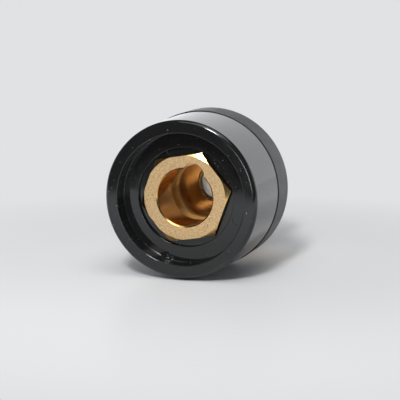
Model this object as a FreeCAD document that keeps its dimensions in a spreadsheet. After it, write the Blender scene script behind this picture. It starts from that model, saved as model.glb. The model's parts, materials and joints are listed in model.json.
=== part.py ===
"""Panel socket for a welding cable plug.

The axis is Y and the nose points to -Y. The origin is on the axis, in the plane where the front
insulator's shoulder meets the panel. Lengths are in millimetres and angles in degrees.

Each piece is drawn with its keyway straight up and is then turned about the axis, so that the
keyway lies at key_clock degrees, counted from +X towards +Z.
"""
import FreeCAD, Part
import math
import os
import re
import Sketcher

# Driving dimensions: name, value and what it measures
SIZES = [
    ("key_clock", 69.8, "clock angle of the keyway"),
    ("barrel_length", 16.5, "front insulator, shoulder to rim"),
    ("floor_width", 3.65, "floor of the recess, outside the shallow step"),
    ("rim_width", 2.95, "wall of the cup at its rim"),
    ("rim_round", 0.95, "rounding of the rim's outer edge"),
    ("rim_flats", 2, "flats that the rounding is made of"),
    ("rim_break", 0.3, "chamfer of the rim's inner edge"),
    ("barrel_draft", 0.42, "barrel's radius at its shoulder beyond that at its rim"),
    ("recess_depth", 4.2, "rim to the floor of the recess"),
    ("recess_root", 0.5, "chamfer where the recess's floor meets its wall"),
    ("step_margin", 0.43, "hexagon's corner to the edge of the shallow step"),
    ("step_depth", 0.8, "depth of the shallow step round the hexagon"),
    ("mark_radius", 1.3, "ejector mark"),
    ("mark_depth", 0.15, "depth of an ejector mark"),
    ("seat_wall", 3.1, "insulator behind the hexagon, which takes the clamping load"),
    ("spigot_wall", 1.85, "spigot outside the corner of the hexagon pocket"),
    ("flat_wall", 2.55, "spigot outside the side of the hexagon pocket, at its flats"),
    ("spigot_chamfer", 0.5, "lead-in at the spigot's end"),
    ("face_setback", 3.4, "rim to the contact's face"),
    ("hex_length", 15.5, "length of the contact's hexagon"),
    ("hex_play", 0.15, "hexagon to its pocket, at each side"),
    ("face_beyond", 0.2, "turned circle on the face, beyond the hexagon's sides"),
    ("hex_bevel", 30.0, "angle of the turned chamfer to the face"),
    ("plug_bore", 6.6, "radius of the plug bore"),
    ("bore_chamfer", 0.3, "chamfer at the bore's mouth"),
    ("bore_depth", 25.3, "face to the bore's flat bottom"),
    ("land_length", 9.6, "face to the start of the cam"),
    ("cam_rise", 1.0, "axial rise of the cam, which draws the plug in"),
    ("cam_turns", 0.8, "turns that the cam runs from the keyway"),
    ("cam_depth", 1.8, "depth of the undercut below the bore"),
    ("undercut_width", 3.0, "width of the undercut past the cam"),
    ("key_radius", 2.8, "rounding of the keyway's bottom"),
    ("key_height", 1.7, "depth of the keyway below the bore"),
    ("nose_wall", 1.1, "least wall outside the undercut"),
    ("shank_wall", 2.4, "shank outside the bore, to the crest of its thread"),
    ("shank_pitch", 1.5, "pitch of the shank's thread"),
    ("shank_chamfer", 0.4, "chamfer at the shank's end"),
    ("shank_tail", 10.8, "shank that stands out of the clamp nut"),
    ("thread_play", 0.06, "screw to nut, at the root of each thread"),
    ("tap_chamfer", 0.9, "chamfer at both ends of the tapped hole"),
    ("joint_gap", 0.15, "shoulder to ring when no panel is between them"),
    ("ring_overhang", 0.18, "ring's radius beyond the barrel's at its shoulder"),
    ("ring_wall", 2.8, "ring behind the spigot"),
    ("ring_chamfer", 0.3, "chamfer of the ring's rear edge"),
    ("spigot_play", 0.1, "spigot to the ring's pocket"),
    ("hole_play", 0.25, "thread crest to a plain hole round it"),
    ("nut_wall", 4.5, "clamp nut outside the thread, at its sides"),
    ("nut_thickness", 6.0, "clamp nut"),
    ("nut_turned", 0.05, "turned circle of the nut and the bolt's head, inside their sides"),
    ("nut_bevel", 30.0, "angle of the nut's and the bolt's corner chamfers"),
    ("clamp_washer_margin", 2.5, "clamp washer beyond the nut's sides"),
    ("clamp_washer_thickness", 1.6, "clamp washer"),
    ("bolt_radius", 5.0, "terminal bolt, to the crest of its thread"),
    ("bolt_pitch", 1.5, "pitch of the terminal bolt's thread"),
    ("bolt_length", 20.0, "terminal bolt under its head"),
    ("bolt_point", 0.5, "chamfer at the terminal bolt's tip"),
    ("head_wall", 3.5, "bolt's head outside the thread, at its sides"),
    ("head_height", 6.4, "terminal bolt's head"),
    ("terminal_washer_width", 4.75, "terminal washer, hole to edge"),
    ("terminal_washer_thickness", 2.0, "terminal washer"),
    ("spring_width", 3.9, "spring washer's section across"),
    ("spring_thickness", 2.2, "spring washer's section along the axis"),
    ("spring_play", 0.12, "bolt's crest to the spring washer"),
    ("spring_split", 1.6, "width of the spring washer's split"),
    ("spring_slant", 25.0, "slant of the split to the axis"),
]
NAMES = {name for name, value, meaning in SIZES}

# Depth of an inner thread's profile, as a share of its pitch
THREAD_SHARE = 0.5413

# Radii that follow from the driving dimensions
UNDERCUT = "(plug_bore + cam_depth)"
HEX_HALF = f"({UNDERCUT} + nose_wall)"
HEX_CORNER = f"({HEX_HALF} / cos(30 deg))"
POCKET_HALF = f"({HEX_HALF} + hex_play)"
POCKET_CORNER = f"({POCKET_HALF} / cos(30 deg))"
STEP = f"({HEX_CORNER} + step_margin)"
SPIGOT = f"({POCKET_CORNER} + spigot_wall)"
SPIGOT_FLAT = f"({POCKET_HALF} + flat_wall)"
RECESS = f"({STEP} + floor_width)"
BARREL = f"({RECESS} + rim_width)"
MARK_CENTRE = f"(({RECESS} + {STEP}) / 2)"
SHOULDER = f"({BARREL} + barrel_draft)"
RING = f"({SHOULDER} + ring_overhang)"
SHANK = "(plug_bore + shank_wall)"
SHANK_HOLE = f"({SHANK} + hole_play)"
NUT_HOLE = f"({SHANK} - {THREAD_SHARE} * shank_pitch)"
SHANK_CORE = f"({NUT_HOLE} - thread_play)"
NUT_HALF = f"({SHANK} + nut_wall)"
CLAMP_WASHER = f"({NUT_HALF} + clamp_washer_margin)"
TAP_HOLE = f"(bolt_radius - {THREAD_SHARE} * bolt_pitch)"
BOLT_CORE = f"({TAP_HOLE} - thread_play)"
HEAD_HALF = "(bolt_radius + head_wall)"
BOLT_HOLE = "(bolt_radius + hole_play)"
TERMINAL_WASHER = f"({BOLT_HOLE} + terminal_washer_width)"
SPRING_HOLE = "(bolt_radius + spring_play)"
SPRING_EDGE = f"({SPRING_HOLE} + spring_width)"
KEY_CENTRE = "(plug_bore + key_height - key_radius)"

# Places along the axis that follow from the driving dimensions, front to back
RIM_Y = "(-barrel_length)"
FACE_Y = f"({RIM_Y} + face_setback)"
FLOOR_Y = f"({RIM_Y} + recess_depth)"
STEP_Y = f"({FLOOR_Y} + step_depth)"
CAM_Y = f"({FACE_Y} + land_length)"
UNDERCUT_Y = f"({CAM_Y} + cam_rise)"
UNDERCUT_END_Y = f"({UNDERCUT_Y} + undercut_width)"
SEAT_Y = f"({FACE_Y} + hex_length)"
SPIGOT_Y = f"({SEAT_Y} + seat_wall)"
RING_Y = f"({SPIGOT_Y} + ring_wall)"
BORE_END_Y = f"({FACE_Y} + bore_depth)"
CLAMP_WASHER_Y = f"({RING_Y} + clamp_washer_thickness)"
NUT_Y = f"({CLAMP_WASHER_Y} + nut_thickness)"
SHANK_Y = f"({NUT_Y} + shank_tail)"
TERMINAL_WASHER_Y = f"({SHANK_Y} + terminal_washer_thickness)"
SPRING_Y = f"({TERMINAL_WASHER_Y} + spring_thickness)"
HEAD_Y = f"({SPRING_Y} + head_height)"
TIP_Y = f"({SPRING_Y} - bolt_length)"

# Closeness, in millimetres, at which an edge counts as the one that is looked for
SAME = 0.001

doc = FreeCAD.newDocument("panel_socket")


def add_sheet():
    sheet = doc.addObject("Spreadsheet::Sheet", "Sizes")
    for row, (name, value, meaning) in enumerate(SIZES, start=1):
        sheet.set(f"A{row}", meaning)
        sheet.set(f"B{row}", str(value))
        sheet.setAlias(f"B{row}", name)
    doc.recompute()
    return sheet


sheet = add_sheet()


def linked(formula):
    """Writes the sizes in a formula as references to the sheet."""
    return re.sub(r"[a-z_]{3,}", lambda word: ("Sizes." if word[0] in NAMES else "") + word[0], formula)


def number(formula):
    """The formula's value with the sheet's present sizes."""
    value = sheet.evalExpression(linked(formula))
    return float(getattr(value, "Value", value))


def new_body(label):
    """A body that turns about the axis to bring its keyway to its clock angle."""
    body = doc.addObject("PartDesign::Body", label)
    body.Label = label
    body.Placement.Rotation = FreeCAD.Rotation(FreeCAD.Vector(0, 1, 0), 90 - number("key_clock"))
    body.setExpression("Placement.Rotation.Angle", linked("(90 - key_clock) * 1 deg"))
    return body


def new_sketch(body, name, role, y="0"):
    """A sketch on an origin plane. On XZ_Plane it lies at the place y along the axis."""
    plane = next(item for item in body.Origin.OriginFeatures if item.Role == role)
    sketch = body.newObject("Sketcher::SketchObject", name)
    sketch.AttachmentSupport = [(plane, "")]
    sketch.MapMode = "FlatFace"
    if role == "XZ_Plane":
        sketch.setExpression("AttachmentOffset.Base.z", linked(f"-1 * {y}"))
    return sketch


def pin_down(sketch, item, point, across, up):
    """Holds one point of a sketch at two formulas."""
    for kind, formula, axis in (("DistanceX", across, -2), ("DistanceY", up, -1)):
        value = number(formula)
        if abs(value) < SAME:
            sketch.addConstraint(Sketcher.Constraint("PointOnObject", item, point, axis))
        else:
            made = sketch.addConstraint(Sketcher.Constraint(kind, -1, 1, item, point, value))
            sketch.setExpression(f"Constraints[{made}]", linked(formula))


def draw_outline(sketch, corners):
    """A closed outline of straight lines through corners that are pairs of formulas."""
    spots = [FreeCAD.Vector(number(across), number(up), 0) for across, up in corners]
    lines = []
    for here, there in zip(spots, spots[1:] + spots[:1]):
        lines.append(sketch.addGeometry(Part.LineSegment(here, there), False))
    for line, following in zip(lines, lines[1:] + lines[:1]):
        sketch.addConstraint(Sketcher.Constraint("Coincident", line, 2, following, 1))
    for line, (across, up) in zip(lines, corners):
        pin_down(sketch, line, 1, across, up)


def draw_circle(sketch, radius, across="0", up="0"):
    centre = FreeCAD.Vector(number(across), number(up), 0)
    circle = sketch.addGeometry(Part.Circle(centre, FreeCAD.Vector(0, 0, 1), number(radius)), False)
    if across == up == "0":
        sketch.addConstraint(Sketcher.Constraint("Coincident", circle, 3, -1, 1))
    else:
        pin_down(sketch, circle, 3, across, up)
    made = sketch.addConstraint(Sketcher.Constraint("Radius", circle, number(radius)))
    sketch.setExpression(f"Constraints[{made}]", linked(radius))


def hexagon(half_width):
    """Corners of a hexagon with two corners straight up and down."""
    corner = f"({half_width} / cos(30 deg))"
    return [(f"{corner} * cos({30 + 60 * turn} deg)", f"{corner} * sin({30 + 60 * turn} deg)")
            for turn in range(6)]


def draw_flatted_circle(sketch, radius, flat):
    """A circle with a flat at each side, which keys the spigot in the panel and in the ring."""
    reach, half = number(radius), number(flat)
    top = math.acos(half / reach)
    centre, normal = FreeCAD.Vector(0, 0, 0), FreeCAD.Vector(0, 0, 1)
    circle = Part.Circle(centre, normal, reach)
    upper = sketch.addGeometry(Part.ArcOfCircle(circle, top, math.pi - top), False)
    lower = sketch.addGeometry(Part.ArcOfCircle(circle, math.pi + top, 2 * math.pi - top), False)
    rise = math.sqrt(reach ** 2 - half ** 2)
    left = sketch.addGeometry(
        Part.LineSegment(FreeCAD.Vector(-half, rise, 0), FreeCAD.Vector(-half, -rise, 0)), False)
    right = sketch.addGeometry(
        Part.LineSegment(FreeCAD.Vector(half, -rise, 0), FreeCAD.Vector(half, rise, 0)), False)
    chain = [upper, left, lower, right]
    for item, following in zip(chain, chain[1:] + chain[:1]):
        sketch.addConstraint(Sketcher.Constraint("Coincident", item, 2, following, 1))
    for arc in (upper, lower):
        sketch.addConstraint(Sketcher.Constraint("Coincident", arc, 3, -1, 1))
        made = sketch.addConstraint(Sketcher.Constraint("Radius", arc, reach))
        sketch.setExpression(f"Constraints[{made}]", linked(radius))
    for line, sign in ((left, -1), (right, 1)):
        sketch.addConstraint(Sketcher.Constraint("Vertical", line))
        made = sketch.addConstraint(Sketcher.Constraint("DistanceX", -1, 1, line, 1, sign * half))
        sketch.setExpression(f"Constraints[{made}]", linked(f"{sign} * {flat}"))


def removes(body, feature):
    """Checks that a cutting feature took some of the body away."""
    doc.recompute()
    before = feature.BaseFeature.Shape.Volume
    if body.Shape.Volume > before - SAME:
        raise ValueError(f"{feature.Name} removes nothing")


def revolve(body, name, corners, cuts=False):
    """Turns an outline of radius and place about the axis, as solid or as a cut."""
    sketch = new_sketch(body, name + "_outline", "XY_Plane")
    draw_outline(sketch, corners)
    feature = body.newObject("PartDesign::Groove" if cuts else "PartDesign::Revolution", name)
    feature.Profile = sketch
    feature.ReferenceAxis = (sketch, ["V_Axis"])
    feature.Angle = 360
    if cuts:
        removes(body, feature)
    return feature


def pad_back(body, name, sketch, length):
    """Pads a sketch on XZ_Plane towards +Y."""
    feature = body.newObject("PartDesign::Pad", name)
    feature.Profile = sketch
    feature.Reversed = True
    feature.setExpression("Length", linked(length))
    return feature


def pocket(body, name, sketch, length=None, towards_front=False):
    """Cuts a sketch on XZ_Plane into the body, through it where no length is given."""
    feature = body.newObject("PartDesign::Pocket", name)
    feature.Profile = sketch
    feature.Reversed = towards_front
    if length is None:
        feature.Type = "ThroughAll"
    else:
        feature.setExpression("Length", linked(length))
    removes(body, feature)
    return feature


def soften(body, name, kind, size, rings):
    """Rounds or chamfers the circular edges of the given radius and place."""
    doc.recompute()
    wanted = [(number(radius), number(y)) for radius, y in rings]
    edges = []
    for index, edge in enumerate(body.Tip.Shape.Edges, start=1):
        curve = edge.Curve
        if not isinstance(curve, Part.Circle):
            continue
        for radius, y in wanted:
            if abs(curve.Radius - radius) < SAME and abs(curve.Center.y - y) < SAME:
                edges.append(f"Edge{index}")
    if len(edges) < len(rings):
        raise ValueError(f"{name} finds {len(edges)} edges of {len(rings)}")
    feature = body.newObject(f"PartDesign::{kind}", name)
    feature.Base = (body.Tip if body.Tip != feature else feature.BaseFeature, edges)
    feature.setExpression("Radius" if kind == "Fillet" else "Size", linked(size))
    return feature


def bevel_corners(body, name, half_width, circle, angle, y, towards_back=False):
    """Turns off the corners of a hexagon outside a circle on its face at the place y."""
    reach = f"({half_width} / cos(30 deg) + {SAME})"
    drop = f"(({reach} - {circle}) * tan({angle} * 1 deg))"
    sign = "-" if towards_back else "+"
    revolve(body, name, [(circle, y), (reach, y), (reach, f"{y} {sign} {drop}")], cuts=True)


def make_contact():
    """Brass contact: hexagon nose with the plug's bore, and a threaded shank for the nut."""
    body = new_body("socket_contact")
    section = new_sketch(body, "nose_section", "XZ_Plane", FACE_Y)
    draw_outline(section, hexagon(HEX_HALF))
    pad_back(body, "nose", section, "hex_length")
    revolve(body, "shank", [
        ("0", CAM_Y),
        (SHANK_CORE, CAM_Y),
        (SHANK_CORE, SEAT_Y),
        (SHANK, SEAT_Y),
        (SHANK, SPIGOT_Y),
        (SHANK_CORE, SPIGOT_Y),
        (SHANK_CORE, f"{SHANK_Y} - shank_chamfer"),
        (f"{SHANK_CORE} - shank_chamfer", SHANK_Y),
        ("0", SHANK_Y),
    ])
    bevel_corners(body, "nose_chamfer", HEX_HALF, f"({HEX_HALF} + face_beyond)", "hex_bevel", FACE_Y)
    revolve(body, "bore", [
        ("0", FACE_Y),
        ("plug_bore + bore_chamfer", FACE_Y),
        ("plug_bore", f"{FACE_Y} + bore_chamfer"),
        ("plug_bore", UNDERCUT_Y),
        (UNDERCUT, UNDERCUT_Y),
        (UNDERCUT, UNDERCUT_END_Y),
        ("plug_bore", UNDERCUT_END_Y),
        ("plug_bore", BORE_END_Y),
        (f"{TAP_HOLE} + tap_chamfer", BORE_END_Y),
        (TAP_HOLE, f"{BORE_END_Y} + tap_chamfer"),
        (TAP_HOLE, f"{SHANK_Y} - tap_chamfer"),
        (f"{TAP_HOLE} + tap_chamfer", SHANK_Y),
        ("0", SHANK_Y),
    ], cuts=True)
    keyway = new_sketch(body, "keyway_section", "XZ_Plane", FACE_Y)
    draw_circle(keyway, "key_radius", up=KEY_CENTRE)
    pocket(body, "keyway", keyway, f"{UNDERCUT_Y} - {FACE_Y} + undercut_width / 2")
    cut_cam(body)
    return body


def cut_cam(body):
    """Cam face behind the bore's land: it sinks as it runs clockwise from the keyway."""
    sketch = new_sketch(body, "cam_section", "YZ_Plane")
    inner = "(plug_bore - key_height)"
    far = f"{UNDERCUT_Y} + undercut_width / 4"
    draw_outline(sketch, [(CAM_Y, inner), (far, inner), (far, UNDERCUT), (CAM_Y, UNDERCUT)])
    feature = body.newObject("PartDesign::SubtractiveHelix", "cam")
    feature.Profile = sketch
    feature.ReferenceAxis = (sketch, ["H_Axis"])
    feature.Mode = "height-turns-angle"
    feature.setExpression("Height", linked("cam_rise"))
    feature.setExpression("Turns", linked("cam_turns"))
    removes(body, feature)


def rim_corners():
    """Corners of the rim's outer edge, rounded in a few flats."""
    flats = round(number("rim_flats"))
    turns = [f"({step} * 90 / {flats} * 1 deg)" for step in range(flats + 1)]
    return [(f"{BARREL} - rim_round * (1 - sin{turn})", f"{RIM_Y} + rim_round * (1 - cos{turn})")
            for turn in turns]


def make_front_insulator():
    """Moulded cup: barrel with a recess for the plug's collar, and a spigot behind it."""
    body = new_body("front_insulator")
    revolve(body, "barrel", [
        ("0", STEP_Y),
        (STEP, STEP_Y),
        (STEP, FLOOR_Y),
        (RECESS, FLOOR_Y),
        (RECESS, RIM_Y),
        *rim_corners(),
        (SHOULDER, "0"),
        ("0", "0"),
    ])
    section = new_sketch(body, "spigot_section", "XZ_Plane")
    draw_flatted_circle(section, SPIGOT, SPIGOT_FLAT)
    pad_back(body, "spigot", section, SPIGOT_Y)
    hexagonal = new_sketch(body, "hex_pocket_section", "XZ_Plane", SEAT_Y)
    draw_outline(hexagonal, hexagon(POCKET_HALF))
    pocket(body, "hex_pocket", hexagonal, towards_front=True)
    hole = new_sketch(body, "shank_hole_section", "XZ_Plane", SEAT_Y)
    draw_circle(hole, f"({SHANK} + spigot_play)")
    pocket(body, "shank_hole", hole)
    soften(body, "rim_inner", "Chamfer", "rim_break", [(RECESS, RIM_Y)])
    soften(body, "recess_corner", "Chamfer", "recess_root", [(RECESS, FLOOR_Y)])
    soften(body, "spigot_lead", "Chamfer", "spigot_chamfer", [(SPIGOT, SPIGOT_Y)] * 2)
    marks = new_sketch(body, "ejector_mark_section", "XZ_Plane", FLOOR_Y)
    draw_circle(marks, "mark_radius", across=MARK_CENTRE)
    mark = pocket(body, "ejector_mark", marks, "mark_depth")
    pair = body.newObject("PartDesign::Mirrored", "ejector_marks")
    pair.Originals = [mark]
    pair.MirrorPlane = (marks, ["V_Axis"])
    body.Tip = pair
    return body


def make_rear_insulator():
    """Moulded ring behind the panel, with a keyed pocket for the spigot."""
    body = new_body("rear_insulator")
    revolve(body, "ring", [
        ("0", "joint_gap"),
        (RING, "joint_gap"),
        (RING, RING_Y),
        ("0", RING_Y),
    ])
    section = new_sketch(body, "spigot_pocket_section", "XZ_Plane", "joint_gap")
    draw_flatted_circle(section, f"({SPIGOT} + spigot_play)", f"({SPIGOT_FLAT} + spigot_play)")
    pocket(body, "spigot_pocket", section, f"{SPIGOT_Y} - joint_gap")
    hole = new_sketch(body, "ring_hole_section", "XZ_Plane", "joint_gap")
    draw_circle(hole, SHANK_HOLE)
    pocket(body, "ring_hole", hole)
    soften(body, "ring_rear_edge", "Chamfer", "ring_chamfer", [(RING, RING_Y)])
    return body


def make_washer(label, hole, edge, front, back):
    """Flat washer."""
    body = new_body(label)
    revolve(body, "disc", [(hole, front), (edge, front), (edge, back), (hole, back)])
    return body


def make_spring_washer():
    """Square-section ring with a slanted split, closed flat under the bolt's head."""
    body = new_body("terminal_spring_washer")
    front, back = TERMINAL_WASHER_Y, SPRING_Y
    corners = [(SPRING_HOLE, front), (SPRING_EDGE, front), (SPRING_EDGE, back), (SPRING_HOLE, back)]
    revolve(body, "coil", corners)
    lean = "spring_thickness * tan(spring_slant * 1 deg) / 2"
    sketch = new_sketch(body, "split_section", "XY_Plane")
    draw_outline(sketch, [
        (f"-1 * {lean} - spring_split / 2", front),
        (f"-1 * {lean} + spring_split / 2", front),
        (f"{lean} + spring_split / 2", back),
        (f"{lean} - spring_split / 2", back),
    ])
    pocket(body, "split", sketch, towards_front=True)
    return body


def make_clamp_nut():
    """Thin hexagon nut on the shank's thread, flat in front and chamfered on its rear face."""
    body = new_body("clamp_nut")
    section = new_sketch(body, "nut_section", "XZ_Plane", CLAMP_WASHER_Y)
    draw_outline(section, hexagon(NUT_HALF))
    pad_back(body, "nut", section, "nut_thickness")
    turned = f"({NUT_HALF} - nut_turned)"
    bevel_corners(body, "nut_chamfer", NUT_HALF, turned, "nut_bevel", NUT_Y, towards_back=True)
    countersink = f"({SHANK_HOLE} - {NUT_HOLE})"
    revolve(body, "nut_hole", [
        ("0", CLAMP_WASHER_Y),
        (NUT_HOLE, CLAMP_WASHER_Y),
        (NUT_HOLE, f"{NUT_Y} - {countersink}"),
        (SHANK_HOLE, NUT_Y),
        ("0", NUT_Y),
    ], cuts=True)
    return body


def make_terminal_bolt():
    """Hexagon bolt whose tip reaches into the bottom of the plug's bore."""
    body = new_body("terminal_bolt")
    section = new_sketch(body, "head_section", "XZ_Plane", SPRING_Y)
    draw_outline(section, hexagon(HEAD_HALF))
    pad_back(body, "head", section, "head_height")
    turned = f"({HEAD_HALF} - nut_turned)"
    bevel_corners(body, "head_chamfer", HEAD_HALF, turned, "nut_bevel", HEAD_Y, towards_back=True)
    revolve(body, "bolt_shank", [
        ("0", TIP_Y),
        (f"{BOLT_CORE} - bolt_point", TIP_Y),
        (BOLT_CORE, f"{TIP_Y} + bolt_point"),
        (BOLT_CORE, f"{SPRING_Y} + head_height / 2"),
        ("0", f"{SPRING_Y} + head_height / 2"),
    ])
    return body


def check(bodies):
    """Stops before anything is written if an object failed or a piece is not one valid solid."""
    doc.recompute()
    for item in doc.Objects:
        if "Invalid" in item.State or "Error" in item.State:
            raise ValueError(f"{item.Name} failed")
    for body in bodies:
        if body.Shape.isNull() or not body.Shape.isValid() or len(body.Shape.Solids) != 1:
            raise ValueError(f"{body.Label} is not one valid solid")


pieces = [
    make_contact(),
    make_front_insulator(),
    make_rear_insulator(),
    make_washer("clamp_washer", SHANK_HOLE, CLAMP_WASHER, RING_Y, CLAMP_WASHER_Y),
    make_clamp_nut(),
    make_washer("terminal_washer", BOLT_HOLE, TERMINAL_WASHER, SHANK_Y, TERMINAL_WASHER_Y),
    make_spring_washer(),
    make_terminal_bolt(),
]
check(pieces)
os.makedirs("parts", exist_ok=True)
for piece in pieces:
    piece.Shape.exportStep(f"parts/{piece.Label}.step")
    box = piece.Shape.BoundBox
    print(f"{piece.Label}: {piece.Shape.Volume:.0f} mm3, y {box.YMin:.2f} to {box.YMax:.2f}")
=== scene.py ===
"""Looks of a welding cable's panel socket: materials, fine forms, floor, light and camera.

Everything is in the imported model's frame: Y is the axis, the nose points to -Y, and the origin
lies on the axis in the plane of the panel. The object's sizes and places are in millimetres, and
MM turns them into metres. Camera, lamps and table are placed in metres. Round forms are drawn
with the keyway straight up and then turned about the axis by ROLL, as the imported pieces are.
"""
import json
import math

import bmesh
import bpy
from mathutils import Matrix, Vector


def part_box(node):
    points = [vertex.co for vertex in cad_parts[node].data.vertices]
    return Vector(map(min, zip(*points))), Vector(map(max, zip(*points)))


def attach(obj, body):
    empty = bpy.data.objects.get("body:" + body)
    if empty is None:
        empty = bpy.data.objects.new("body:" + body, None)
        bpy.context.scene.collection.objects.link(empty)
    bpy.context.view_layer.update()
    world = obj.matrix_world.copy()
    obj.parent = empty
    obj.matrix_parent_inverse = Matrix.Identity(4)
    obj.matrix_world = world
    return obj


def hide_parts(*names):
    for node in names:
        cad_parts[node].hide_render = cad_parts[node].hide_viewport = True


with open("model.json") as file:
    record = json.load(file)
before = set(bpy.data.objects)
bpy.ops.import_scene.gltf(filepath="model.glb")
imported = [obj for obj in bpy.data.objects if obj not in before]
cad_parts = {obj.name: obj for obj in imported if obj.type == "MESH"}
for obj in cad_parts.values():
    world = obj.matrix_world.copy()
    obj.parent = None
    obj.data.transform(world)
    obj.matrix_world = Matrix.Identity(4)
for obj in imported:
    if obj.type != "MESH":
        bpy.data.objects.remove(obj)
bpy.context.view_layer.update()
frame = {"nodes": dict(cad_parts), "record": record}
MM = 0.001

# Clock angle of the keyway, from +X towards +Z
KEY_CLOCK = math.radians(69.8)
ROLL = Matrix.Rotation(math.radians(90) - KEY_CLOCK, 4, "Y")

# Places along the axis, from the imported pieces
RIM_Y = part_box("front_insulator")[0].y / MM
SPIGOT_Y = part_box("front_insulator")[1].y / MM
RING_FRONT_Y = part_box("rear_insulator")[0].y / MM
RING_BACK_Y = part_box("rear_insulator")[1].y / MM
SHANK_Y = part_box("socket_contact")[1].y / MM
TIP_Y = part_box("terminal_bolt")[0].y / MM
SPRING_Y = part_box("terminal_spring_washer")[1].y / MM
WASHER_Y = [corner.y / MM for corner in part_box("clamp_washer")]
LUG_WASHER_Y = [corner.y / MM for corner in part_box("terminal_washer")]

# Radii and half widths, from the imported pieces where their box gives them
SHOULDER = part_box("front_insulator")[1].x / MM
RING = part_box("rear_insulator")[1].x / MM
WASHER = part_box("clamp_washer")[1].x / MM
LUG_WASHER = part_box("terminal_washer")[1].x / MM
LUG_WASHER_HOLE = 5.25
RECESS = 15.05
BARREL = 18.0
STEP = 11.4
POCKET_HALF = 9.65
SPIGOT = 12.99
SPIGOT_FLAT = 12.2
SPIGOT_PLAY = 0.1
SHANK_HOLE = 9.25
POCKET_HOLE = 9.1

# Depths in the cup, and the spigot's lead-in on its round part and on its flats
RECESS_DEPTH = 4.2
STEP_DEPTH = 0.8
SEAT_WALL = 3.1
LEAD = 0.5
FLAT_LEAD = 0.1

# Marks of the moulding: two from the ejectors and the place where the cup was filled
MARK_RADIUS = 1.3
MARK_DEPTH = 0.15
GATE_MARK = (-4.5, -12.9, -14.4)
GATE_FADE = (0.5, 1.7)

# Roundings of edges
STEP_EDGE = 0.12
RECESS_EDGE = 0.2
RIM_EDGE = 0.95
SHOULDER_EDGE = 0.06
RING_FRONT_EDGE = 0.12
RING_BACK_EDGE = 0.3
PUNCHED_HOLE_EDGE = 0.25
PUNCHED_RIM_EDGE = 0.35
PUNCHED_BACK_EDGE = 0.1

# Threads
PITCH = 1.5
RUN_OUT = 0.75
SHANK_CORE = 8.128
SHANK_CREST = 9.0
BOLT_CORE = 4.128
BOLT_CREST = 5.0

# Spans in which one finish of the brass contact fades into the next, along its axis and outwards.
# MOUTH_END and CUT_END bound the undercut's painted light, and DEEP_START and BORE_FLOOR bound the
# painted shade deep in the bore
FACE_END = (-9.0, -8.5)
MOUTH_END = (-3.8, -3.2)
DEEP_START = (0.5, 3.0)
CUT_END = (2.0, 3.0)
SHANK_START = (4.0, 5.0)
BORE_FLOOR = (12.05, 12.15)
MOUTH_WALL = (6.7, 6.8)
SHANK_WALL = (8.0, 8.1)

# How finely the round forms are drawn, and the angle from which an edge is sharp
SEGMENTS = 192
ARC_STEPS = 8
MARK_SEGMENTS = 48
THREAD_STEPS = 72
CREASE = math.radians(28)

# Camera, from the perspective of the rim, the joint line and the rear edge
VIEW_AZIMUTH = math.radians(18.21)
VIEW_ELEVATION = math.radians(9.10)
VIEW_DISTANCE = 336.24 * MM
VIEW_AIM = Vector((0, -17.27 * MM, 0))
VIEW_RIGHT = 4.833 * MM
VIEW_UP = 0.121 * MM
LENS = 135.0
SENSOR = 36.0
CLIP_START = 1 * MM

# Table, and the tones of its far parts and of the room
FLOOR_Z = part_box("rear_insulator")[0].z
TABLE_EDGE = -0.135
TABLE_REACH = 4.0
BACKDROP = (0.745, 0.760, 0.775)
FAR_TABLE = (1.05, 1.07, 1.10)
WALL = (1.22, 1.24, 1.28)
ROOM = (0.06, 0.06, 0.06)

# Span in which the table fades into its far tone, in millimetres from the origin
TABLE_FADE = (55, 115)

# Spans in which the room's pale wall begins and ends, as the Y and Z parts of a direction
WALL_SIDE = (-0.15, 0.35)
WALL_TOP = (0.36, 0.52)


# Round forms

def soften(corners):
    """Rounds the corners (radius, place, rounding) of a closed outline with arcs."""
    points = []
    for index, (radius, place, rounding) in enumerate(corners):
        if not rounding:
            points.append((radius, place))
            continue
        here = Vector((radius, place))
        before = (Vector(corners[index - 1][:2]) - here).normalized()
        after = (Vector(corners[(index + 1) % len(corners)][:2]) - here).normalized()
        half_corner = before.angle(after) / 2
        centre = here + (before + after).normalized() * rounding / math.sin(half_corner)
        start = here + before * rounding / math.tan(half_corner) - centre
        sweep = math.pi - 2 * half_corner
        side = 1 if before.cross(after) < 0 else -1
        for step in range(ARC_STEPS + 1):
            turn = Matrix.Rotation(side * sweep * step / ARC_STEPS, 2)
            points.append(tuple(centre + turn @ start))
    return points


def hexagonal(half_width):
    """Radius of a hexagon with two corners straight up and down, by clock angle."""
    sixth = math.pi / 3

    def radius(clock):
        return half_width / math.cos((clock + sixth / 2) % sixth - sixth / 2)
    return radius


def flatted(reach, flat):
    """Radius of a circle with a flat at each side, by clock angle."""
    def radius(clock):
        across = abs(math.cos(clock))
        return reach if across * reach < flat else flat / across
    return radius


def clocks():
    """Clock angles of the segments, with the ends of the spigot's flats among them."""
    even = [2 * math.pi * step / SEGMENTS for step in range(SEGMENTS)]
    first = math.acos(SPIGOT_FLAT / SPIGOT)
    ends = [first, math.pi - first, math.pi + first, 2 * math.pi - first]
    quarter_step = math.pi / SEGMENTS / 2
    free = [clock for clock in even if all(abs(clock - end) > quarter_step for end in ends)]
    return sorted(ends + free)


def shade(piece):
    """Smooth shading with sharp creases, and normals that favour the larger faces."""
    piece.data.shade_smooth()
    piece.data.set_sharp_from_angle(angle=CREASE)
    weigh = piece.modifiers.new("even_normals", "WEIGHTED_NORMAL")
    weigh.keep_sharp = True


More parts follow.
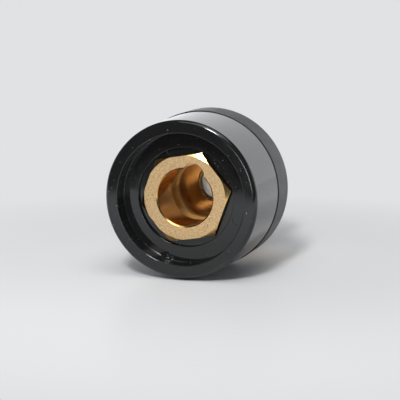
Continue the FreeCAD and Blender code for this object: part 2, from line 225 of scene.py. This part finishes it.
def add_piece(name, points, faces, body, slot):
    """A smooth mesh piece in millimetres, turned to the keyway's clock angle, on its body."""
    mesh = bpy.data.meshes.new(name)
    mesh.from_pydata([Vector(point) * MM for point in points], [], faces)
    mesh.transform(ROLL)
    shape = bmesh.new()
    shape.from_mesh(mesh)
    bmesh.ops.recalc_face_normals(shape, faces=shape.faces)
    shape.to_mesh(mesh)
    shape.free()
    mesh.materials.append(MATERIALS[slot])
    piece = bpy.data.objects.new(name, mesh)
    bpy.context.collection.objects.link(piece)
    shade(piece)
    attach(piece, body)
    return piece


def turned(name, outline, body, slot):
    """A closed outline of (radius, place) carried round the axis; a radius may depend on the clock."""
    angles = clocks()
    points = []
    for radius, place in outline:
        for clock in angles:
            reach = radius(clock) if callable(radius) else radius
            points.append((reach * math.cos(clock), place, reach * math.sin(clock)))
    count = len(angles)
    faces = []
    for ring in range(len(outline)):
        here = ring * count
        there = (ring + 1) % len(outline) * count
        for step in range(count):
            following = (step + 1) % count
            faces.append((here + step, here + following, there + following, there + step))
    return add_piece(name, points, faces, body, slot)


def sink_discs(piece, radius, offset, place, depth):
    """Sinks two round marks, left and right of the axis, into a flat face."""
    cutter = bpy.data.meshes.new("marks")
    shape = bmesh.new()
    for side in (-1, 1):
        at = Matrix.Translation(Vector((side * offset, place, 0)) * MM)
        upright = Matrix.Rotation(math.pi / 2, 4, "X")
        bmesh.ops.create_cone(
            shape, cap_ends=True, segments=MARK_SEGMENTS, radius1=radius * MM, radius2=radius * MM,
            depth=2 * depth * MM, matrix=ROLL @ at @ upright)
    shape.to_mesh(cutter)
    shape.free()
    tool = bpy.data.objects.new("marks", cutter)
    bpy.context.collection.objects.link(tool)
    piece.modifiers.clear()
    cut = piece.modifiers.new("marks", "BOOLEAN")
    cut.operation = "DIFFERENCE"
    cut.solver = "EXACT"
    cut.object = tool
    evaluated = piece.evaluated_get(bpy.context.evaluated_depsgraph_get())
    piece.data = bpy.data.meshes.new_from_object(evaluated)
    piece.modifiers.clear()
    bpy.data.objects.remove(tool)
    shade(piece)


def make_thread(name, core, crest, start, end, body, slot):
    """Right-handed ridge of 60 degrees round a core, which fades out over half a turn at both ends."""
    sunk = 0.05
    crest_half = PITCH / 16
    widening = 0.3
    fade_turns = 0.5
    flank = math.tan(math.radians(30))
    turns = (end - start) / PITCH
    steps = round(turns * THREAD_STEPS)
    points = []
    for step in range(steps + 1):
        turn = step / THREAD_STEPS
        angle = 2 * math.pi * turn
        fade = min(1, turn / fade_turns, (turns - turn) / fade_turns)
        height = (crest - core) * fade
        top_half = crest_half + (crest - core - height) * flank * widening
        root_half = top_half + (height + sunk) * flank
        for reach, half in ((core - sunk, root_half), (core + height, top_half)):
            for side in (-half, half):
                place = start + PITCH * turn + side
                points.append((reach * math.sin(angle), place, reach * math.cos(angle)))
    last = 4 * steps
    faces = [(0, 2, 3, 1), (last, last + 1, last + 3, last + 2)]
    for here in range(0, last, 4):
        there = here + 4
        for one, other in ((0, 2), (2, 3), (3, 1), (1, 0)):
            faces.append((here + one, here + other, there + other, there + one))
    return add_piece(name, points, faces, body, slot)


# Nodes

class Tree:
    """Short calls for the nodes of a material or of the world."""

    def __init__(self, node_tree):
        self.nodes = node_tree.nodes
        self.links = node_tree.links

    def put(self, socket, value):
        """Links a socket to another one, or gives it a constant."""
        if hasattr(value, "links"):
            self.links.new(value, socket)
        else:
            socket.default_value = value

    def coordinate(self, name):
        return self.nodes.new("ShaderNodeTexCoord").outputs[name]

    def ray(self, name):
        return self.nodes.new("ShaderNodeLightPath").outputs[name]

    def part(self, vector, axis):
        """One part of a vector."""
        parts = self.nodes.new("ShaderNodeSeparateXYZ")
        self.put(parts.inputs[0], vector)
        return parts.outputs[axis]

    def vector(self, operation, first, second=None):
        node = self.nodes.new("ShaderNodeVectorMath")
        node.operation = operation
        self.put(node.inputs[0], first)
        if second is not None:
            self.put(node.inputs[1], second)
        return node.outputs["Value" if operation == "LENGTH" else "Vector"]

    def math(self, operation, first, second=0.0):
        node = self.nodes.new("ShaderNodeMath")
        node.operation = operation
        self.put(node.inputs[0], first)
        self.put(node.inputs[1], second)
        return node.outputs[0]

    def times(self, first, second):
        return self.math("MULTIPLY", first, second)

    def spread(self, value, low, high, to_low=0.0, to_high=1.0, smooth=False):
        """Carries the span low..high to another span, and clamps it there."""
        node = self.nodes.new("ShaderNodeMapRange")
        node.interpolation_type = "SMOOTHSTEP" if smooth else "LINEAR"
        self.put(node.inputs["Value"], value)
        ends = {"From Min": low, "From Max": high, "To Min": to_low, "To Max": to_high}
        for name, number in ends.items():
            node.inputs[name].default_value = number
        return node.outputs["Result"]

    def after(self, value, fade, smooth=False):
        """0 before the span and 1 after it."""
        return self.spread(value, *fade, 0.0, 1.0, smooth)

    def before(self, value, fade, smooth=False):
        """1 before the span and 0 after it."""
        return self.spread(value, *fade, 1.0, 0.0, smooth)

    def mix(self, share, first, second):
        """Mixes two colours."""
        node = self.nodes.new("ShaderNodeMix")
        node.data_type = "RGBA"
        self.put(node.inputs["Factor"], share)
        for socket, value in ((node.inputs[6], first), (node.inputs[7], second)):
            self.put(socket, (*value, 1) if isinstance(value, tuple) else value)
        return node.outputs[2]

    def blend(self, share, first, second):
        """Mixes two shaders."""
        node = self.nodes.new("ShaderNodeMixShader")
        for socket, value in zip(node.inputs, (share, first, second)):
            self.put(socket, value)
        return node.outputs[0]


class Finish(Tree):
    """A new procedural material, in which places are in millimetres."""

    def __init__(self, name):
        self.material = bpy.data.materials.new(name)
        self.material.use_nodes = True
        super().__init__(self.material.node_tree)
        self.shader = self.nodes["Principled BSDF"]
        self.place = self.vector("MULTIPLY", self.coordinate("Object"), (1 / MM, 1 / MM, 1 / MM))

    def set(self, **values):
        """Sets or links the shader's sockets, whose names have _ for a space."""
        for name, value in values.items():
            self.put(self.shader.inputs[name.replace("_", " ")], value)

    def noise(self, scale, detail, place=None, roughness=0.5):
        """Noise from 0 to 1, with about scale features in each millimetre."""
        node = self.nodes.new("ShaderNodeTexNoise")
        self.put(node.inputs["Vector"], self.place if place is None else place)
        node.inputs["Scale"].default_value = scale
        node.inputs["Detail"].default_value = detail
        node.inputs["Roughness"].default_value = roughness
        return node.outputs["Fac"]

    def bump(self, height, distance, strength, under=None):
        """Bump of a height field whose full range stands for distance, in millimetres."""
        node = self.nodes.new("ShaderNodeBump")
        node.inputs["Strength"].default_value = strength
        node.inputs["Distance"].default_value = distance * MM
        self.put(node.inputs["Height"], height)
        if under is not None:
            self.put(node.inputs["Normal"], under)
        return node.outputs["Normal"]

    def polar(self):
        """Distance from the axis and place along it, as a vector, for turning marks."""
        x, y, z = (self.part(self.place, axis) for axis in "XYZ")
        radius = self.math("SQRT", self.math("ADD", self.times(x, x), self.times(z, z)))
        joined = self.nodes.new("ShaderNodeCombineXYZ")
        self.put(joined.inputs["X"], radius)
        self.put(joined.inputs["Y"], y)
        return joined.outputs[0]

    def facing_front(self):
        """1 on faces that point to the nose, 0 elsewhere."""
        return self.spread(self.part(self.coordinate("Normal"), "Y"), -0.95, -0.99)


# Materials

def brass():
    """Machined brass: a sandy stained face, and a bore with painted light on its undercut and painted
    shade in its depth.
    """
    tree = Finish("brass_machined")
    polar = tree.polar()
    outwards = tree.part(polar, "X")
    along = tree.part(polar, "Y")

    # Where each finish lies, from 0 to 1
    face = tree.times(tree.facing_front(), tree.before(along, FACE_END))
    mouth = tree.times(tree.before(outwards, MOUTH_WALL), tree.before(along, MOUTH_END))
    # Painted light: the undercut is coloured brighter than the rest of the bore, for the bright bands
    # that the front light makes there
    cut = tree.times(tree.after(along, MOUTH_END), tree.before(along, CUT_END))
    # Painted shade: the bore's wall is coloured darker deep inside, where little light reaches
    painted_deep_shade = tree.times(tree.after(along, DEEP_START), tree.before(along, BORE_FLOOR))
    shank = tree.times(tree.after(outwards, SHANK_WALL), tree.after(along, SHANK_START))

    # The face
    grain = tree.noise(2.6, 4.0, roughness=0.7)
    stains = tree.spread(tree.noise(0.55, 3.0), 0.50, 0.68, 0.0, 0.45)
    pits = tree.spread(tree.noise(1.9, 3.0, roughness=0.65), 0.58, 0.66, 0.0, 0.65)
    sandy = tree.mix(tree.spread(grain, 0.35, 0.65), (0.53, 0.34, 0.16), (0.86, 0.66, 0.38))
    stained = tree.mix(stains, sandy, (0.74, 0.40, 0.21))
    pitted = tree.mix(pits, stained, (0.30, 0.17, 0.08))

    # The bore and the shank, with painted light on the undercut and painted shade deep in the bore
    lines = tree.noise(9.0, 2.0, place=polar)
    clean = tree.mix(tree.spread(lines, 0.3, 0.7), (0.88, 0.54, 0.20), (0.97, 0.64, 0.28))
    plain = tree.mix(tree.spread(lines, 0.3, 0.7), (0.76, 0.52, 0.25), (0.86, 0.62, 0.32))
    # Painted light: the pale gold of the undercut stands for the light it catches
    near = tree.mix(cut, tree.mix(mouth, clean, (0.76, 0.44, 0.15)), (1.0, 0.79, 0.44))
    # Painted shade: the darker brown deep in the bore stands for shade, not for a duller metal
    turned_parts = tree.mix(shank, tree.mix(painted_deep_shade, near, (0.56, 0.30, 0.10)), plain)

    face_rough = tree.times(tree.spread(grain, 0.3, 0.7, 0.46, 0.62), face)
    turned_rough = tree.math("ADD", tree.spread(lines, 0.3, 0.7, 0.17, 0.25), tree.times(cut, 0.2))
    elsewhere = tree.math("SUBTRACT", 1.0, face)
    sand = tree.bump(tree.times(grain, face), 0.09, 0.8)
    tree.set(
        Base_Color=tree.mix(face, turned_parts, pitted),
        Metallic=1.0,
        Roughness=tree.math("ADD", face_rough, tree.times(turned_rough, elsewhere)),
        Normal=tree.bump(lines, 0.004, 0.5, under=sand),
    )
    return tree.material


def nut_brass():
    """Drawn and turned brass of the clamp nut, brighter and with coarser lines."""
    tree = Finish("brass_nut")
    lines = tree.noise(5.0, 2.0, place=tree.polar())
    cloud = tree.noise(0.25, 3.0)
    clean = tree.mix(tree.spread(lines, 0.3, 0.7), (0.76, 0.52, 0.24), (0.86, 0.61, 0.30))
    tree.set(
        Base_Color=tree.mix(tree.spread(cloud, 0.5, 0.75, 0.0, 0.5), clean, (0.62, 0.38, 0.16)),
        Metallic=1.0,
        Roughness=tree.spread(cloud, 0.3, 0.7, 0.24, 0.38),
        Normal=tree.bump(lines, 0.006, 0.5),
    )
    return tree.material


def zinc():
    """Zinc-plated steel: pale, faintly clouded, with soft small waves."""
    tree = Finish("zinc_plated")
    cloud = tree.noise(0.35, 3.0)
    grain = tree.noise(6.0, 2.0)
    plain = tree.mix(tree.spread(cloud, 0.35, 0.65), (0.66, 0.68, 0.71), (0.80, 0.80, 0.79))
    tree.set(
        Base_Color=tree.mix(tree.spread(grain, 0.6, 0.75, 0.0, 0.4), plain, (0.52, 0.53, 0.55)),
        Metallic=1.0,
        Roughness=tree.spread(cloud, 0.3, 0.7, 0.24, 0.36),
        Normal=tree.bump(grain, 0.01, 0.4),
    )
    return tree.material


def gloss_plastic():
    """Glossy black moulding with slight waves, specks of dust and a rough spot where it was filled."""
    tree = Finish("plastic_gloss")
    dust = tree.spread(tree.noise(2.2, 2.0), 0.71, 0.76)
    cloud = tree.noise(0.3, 3.0)
    wave = tree.bump(tree.noise(0.12, 1.0), 0.02, 0.3)
    from_gate = tree.vector("LENGTH", tree.vector("SUBTRACT", tree.place, GATE_MARK))
    torn = tree.times(tree.noise(1.1, 3.0), tree.before(from_gate, GATE_FADE))
    tree.set(
        Base_Color=tree.mix(tree.times(dust, 0.7), (0.0100, 0.0104, 0.0108), (0.30, 0.30, 0.30)),
        Roughness=tree.math("ADD", tree.spread(cloud, 0.3, 0.7, 0.05, 0.12), tree.times(dust, 0.5)),
        IOR=1.52,
        Normal=tree.bump(torn, 0.9, 0.8, under=wave),
    )
    return tree.material


def matte_plastic():
    """Black moulding with a fine grain and a duller skin."""
    tree = Finish("plastic_matte")
    grain = tree.noise(7.0, 3.0)
    cloud = tree.noise(0.4, 3.0)
    dust = tree.spread(tree.noise(2.5, 2.0), 0.70, 0.78)
    base = tree.mix(tree.spread(cloud, 0.35, 0.65), (0.017, 0.018, 0.018), (0.024, 0.024, 0.024))
    tree.set(
        Base_Color=tree.mix(tree.times(dust, 0.6), base, (0.22, 0.22, 0.22)),
        Roughness=tree.spread(cloud, 0.3, 0.7, 0.42, 0.50),
        IOR=1.45,
        Normal=tree.bump(grain, 0.012, 0.5),
    )
    return tree.material


def table_sheet():
    """Pale matt table with a faint sheen. Its far parts look plain to the camera and in mirrors."""
    sheen_share = 0.05
    sheen_roughness = 0.32
    tree = Finish("floor_sheet")
    tree.set(
        Base_Color=tree.mix(tree.noise(0.02, 2.0), (0.74, 0.75, 0.765), (0.75, 0.76, 0.775)),
        Roughness=0.6,
        Specular_IOR_Level=0.0,
    )
    sheen = tree.nodes.new("ShaderNodeBsdfGlossy")
    sheen.inputs["Roughness"].default_value = sheen_roughness
    plain = tree.nodes.new("ShaderNodeEmission")
    tree.put(plain.inputs["Color"], tree.mix(tree.ray("Is Camera Ray"), FAR_TABLE, BACKDROP))
    far = tree.after(tree.vector("LENGTH", tree.place), TABLE_FADE)
    seen = tree.math("MAXIMUM", tree.ray("Is Camera Ray"), tree.ray("Is Glossy Ray"))
    table = tree.blend(sheen_share, tree.shader.outputs[0], sheen.outputs[0])
    surface = tree.blend(tree.times(far, seen), table, plain.outputs[0])
    tree.put(tree.nodes["Material Output"].inputs["Surface"], surface)
    return tree.material


MATERIALS = {
    "brass": brass(),
    "nut_brass": nut_brass(),
    "zinc": zinc(),
    "black_gloss": gloss_plastic(),
    "black_matte": matte_plastic(),
}


def paint_nodes():
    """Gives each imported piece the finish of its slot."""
    for part in frame["record"]["subparts"]:
        node = frame["nodes"][part["node"]]
        node.material_slots[0].material = MATERIALS[part["material_slot"]]


# Pieces

def make_cup():
    """Front insulator with rounded edges, ejector marks and a spigot with two flats."""
    floor_y = RIM_Y + RECESS_DEPTH
    step_y = floor_y + STEP_DEPTH
    seat_y = SPIGOT_Y - SEAT_WALL
    front = soften([
        (STEP, step_y, 0),
        (STEP, floor_y, STEP_EDGE),
        (RECESS, floor_y, RECESS_EDGE),
        (RECESS, RIM_Y, RECESS_EDGE),
        (BARREL, RIM_Y, RIM_EDGE),
        (SHOULDER, 0, SHOULDER_EDGE),
        (SPIGOT, 0, 0),
    ])
    outline = [
        (hexagonal(POCKET_HALF), step_y),
        *front[:-1],
        (flatted(SPIGOT, SPIGOT_FLAT), 0),
        (flatted(SPIGOT, SPIGOT_FLAT), SPIGOT_Y - LEAD),
        (flatted(SPIGOT - LEAD, SPIGOT_FLAT - FLAT_LEAD), SPIGOT_Y),
        (POCKET_HOLE, SPIGOT_Y),
        (POCKET_HOLE, seat_y),
        (hexagonal(POCKET_HALF), seat_y),
    ]
    cup = turned("cup_shell", outline, "socket", "black_gloss")
    sink_discs(cup, MARK_RADIUS, (RECESS + STEP) / 2, floor_y, MARK_DEPTH)
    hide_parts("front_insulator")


def make_ring():
    """Rear insulator with rounded edges."""
    pocket = flatted(SPIGOT + SPIGOT_PLAY, SPIGOT_FLAT + SPIGOT_PLAY)
    rim = soften([
        (SPIGOT + SPIGOT_PLAY, RING_FRONT_Y, 0),
        (RING, RING_FRONT_Y, RING_FRONT_EDGE),
        (RING, RING_BACK_Y, RING_BACK_EDGE),
        (SHANK_HOLE, RING_BACK_Y, RING_BACK_EDGE),
        (SHANK_HOLE, SPIGOT_Y, 0),
    ])
    outline = [(pocket, SPIGOT_Y), (pocket, RING_FRONT_Y), *rim[1:]]
    ring = turned("clamp_ring", outline, "clamp", "black_matte")
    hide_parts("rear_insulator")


def make_flat_washer(name, node, hole, edge, places, body):
    """Punched washer: rounded edges in front, sharper ones behind."""
    front, back = places
    outline = soften([
        (hole, front, PUNCHED_HOLE_EDGE),
        (edge, front, PUNCHED_RIM_EDGE),
        (edge, back, PUNCHED_BACK_EDGE),
        (hole, back, PUNCHED_BACK_EDGE),
    ])
    washer = turned(name, outline, body, "zinc")
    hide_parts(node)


def make_threads():
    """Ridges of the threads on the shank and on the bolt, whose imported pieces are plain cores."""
    make_thread(
        "shank_thread", SHANK_CORE, SHANK_CREST, SPIGOT_Y + RUN_OUT, SHANK_Y - RUN_OUT,
        "socket", "brass")
    make_thread(
        "bolt_thread", BOLT_CORE, BOLT_CREST, TIP_Y + RUN_OUT, SPRING_Y - RUN_OUT,
        "terminal_bolt", "zinc")


# Camera, light and floor

def add_camera():
    """Camera from the photograph's side, with the object where the photograph has it."""
    back = Vector((
        math.sin(VIEW_AZIMUTH) * math.cos(VIEW_ELEVATION),
        -math.cos(VIEW_AZIMUTH) * math.cos(VIEW_ELEVATION),
        math.sin(VIEW_ELEVATION),
    ))
    right = Vector((math.cos(VIEW_AZIMUTH), math.sin(VIEW_AZIMUTH), 0))
    up = back.cross(right)
    camera = bpy.data.objects.new("camera", bpy.data.cameras.new("camera"))
    camera.data.lens = LENS
    camera.data.sensor_width = SENSOR
    camera.data.clip_start = CLIP_START
    turn = Matrix((right, up, back)).transposed().to_4x4()
    place = VIEW_AIM + right * VIEW_RIGHT + up * VIEW_UP + back * VIEW_DISTANCE
    camera.matrix_world = Matrix.Translation(place) @ turn
    bpy.context.collection.objects.link(camera)
    bpy.context.scene.camera = camera


def area_lamp(name, place, size, radiance):
    """A rectangular soft lamp that shines at the object, given by its own brightness."""
    lamp = bpy.data.lights.new(name, "AREA")
    lamp.shape = "RECTANGLE"
    lamp.size, lamp.size_y = size
    lamp.energy = radiance * math.pi * size[0] * size[1]
    holder = bpy.data.objects.new(name, lamp)
    aim = (-Vector(place)).to_track_quat("-Z", "Y").to_matrix().to_4x4()
    holder.matrix_world = Matrix.Translation(place) @ aim
    holder.visible_camera = False
    bpy.context.collection.objects.link(holder)


def add_world():
    """Dark room with a pale wall behind the object, up to about 25 degrees above the floor."""
    world = bpy.data.worlds.new("studio")
    bpy.context.scene.world = world
    world.use_nodes = True
    tree = Tree(world.node_tree)
    direction = tree.coordinate("Generated")
    behind = tree.after(tree.part(direction, "Y"), WALL_SIDE, smooth=True)
    low = tree.before(tree.part(direction, "Z"), WALL_TOP, smooth=True)
    room = tree.mix(tree.times(behind, low), ROOM, WALL)
    seen = tree.mix(tree.ray("Is Camera Ray"), room, BACKDROP)
    tree.put(tree.nodes["Background"].inputs["Color"], seen)


def add_lamps():
    """The key lamp, two small ones that reach into the bore, and three softboxes."""
    area_lamp("key", place=(0.039, -0.448, 0.379), size=(0.08, 0.125), radiance=72.0)
    area_lamp("front", place=(-0.055, -0.50, -0.03), size=(0.08, 0.06), radiance=10.5)
    area_lamp("front_high", place=(-0.005, -0.47, 0.171), size=(0.06, 0.05), radiance=3.0)
    area_lamp("softbox_top", place=(0.04, -0.28, 0.53), size=(0.50, 0.35), radiance=1.6)
    area_lamp("softbox_side", place=(0.13, -0.10, 0.57), size=(0.30, 0.35), radiance=1.8)
    area_lamp("softbox_back", place=(-0.385, 0.415, 0.20), size=(0.45, 0.25), radiance=1.3)


def add_floor():
    """Table top that ends in front of the object, outside the camera's view."""
    mesh = bpy.data.meshes.new("floor")
    corners = [
        (-TABLE_REACH, TABLE_EDGE),
        (TABLE_REACH, TABLE_EDGE),
        (TABLE_REACH, TABLE_REACH),
        (-TABLE_REACH, TABLE_REACH),
    ]
    mesh.from_pydata([(x, y, FLOOR_Z) for x, y in corners], [], [(0, 1, 2, 3)])
    mesh.materials.append(table_sheet())
    floor = bpy.data.objects.new("floor", mesh)
    bpy.context.collection.objects.link(floor)


paint_nodes()
make_cup()
make_ring()
make_flat_washer("clamp_washer_punched", "clamp_washer", SHANK_HOLE, WASHER, WASHER_Y, "clamp")
make_flat_washer(
    "terminal_washer_punched", "terminal_washer", LUG_WASHER_HOLE, LUG_WASHER, LUG_WASHER_Y,
    "terminal_washers")
make_threads()
add_camera()
add_world()
add_lamps()
add_floor()
bpy.context.scene.view_settings.view_transform = "Standard"
